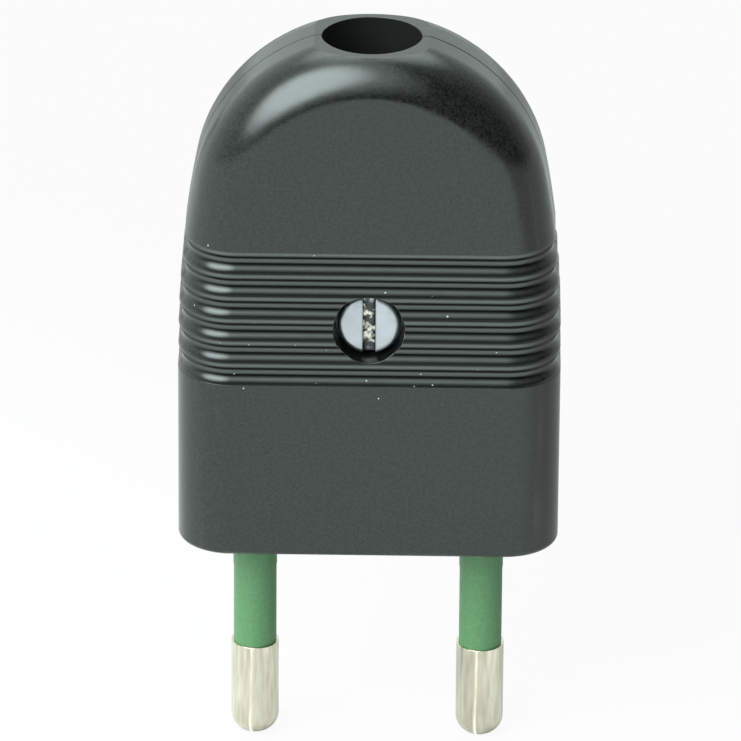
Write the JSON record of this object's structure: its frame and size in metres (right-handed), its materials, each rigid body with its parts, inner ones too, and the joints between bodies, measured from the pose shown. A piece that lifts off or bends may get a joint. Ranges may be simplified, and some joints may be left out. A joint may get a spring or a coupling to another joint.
{
  "type": "italian plug",
  "caption": "Flat mains plug with a domed split body, a ridged grip band, part-insulated round pins, a slotted closing screw and a round cord entry on top.",
  "frame": {"origin": "centre of the engagement face, midway between the pins and on the plane where the covers meet", "axes": "+Z away from the pins towards the cord entry, -Y out of the panel with the closing screw, X along the row of pins"},
  "size_m": [0.0318, 0.0136, 0.0637],
  "materials": {
    "cover_plastic": "moulded, satin gloss, dark green-grey",
    "plated_brass": "turned and nickel plated",
    "sleeve_plastic": "moulded, satin, green",
    "plated_steel": "zinc plated",
    "clamp_plastic": "moulded, dark grey"
  },
  "bodies": {
    "root": {"front_cover": "cover_plastic", "rear_cover": "cover_plastic", "left_pin": "plated_brass", "right_pin": "plated_brass", "left_pin_sleeve": "sleeve_plastic", "right_pin_sleeve": "sleeve_plastic", "terminal_screws": "plated_steel", "cord_clamp": "clamp_plastic", "cord_clamp_screws": "plated_steel", "closing_screw": "plated_steel", "closing_nut": "plated_steel"}
  },
  "joints": []
}
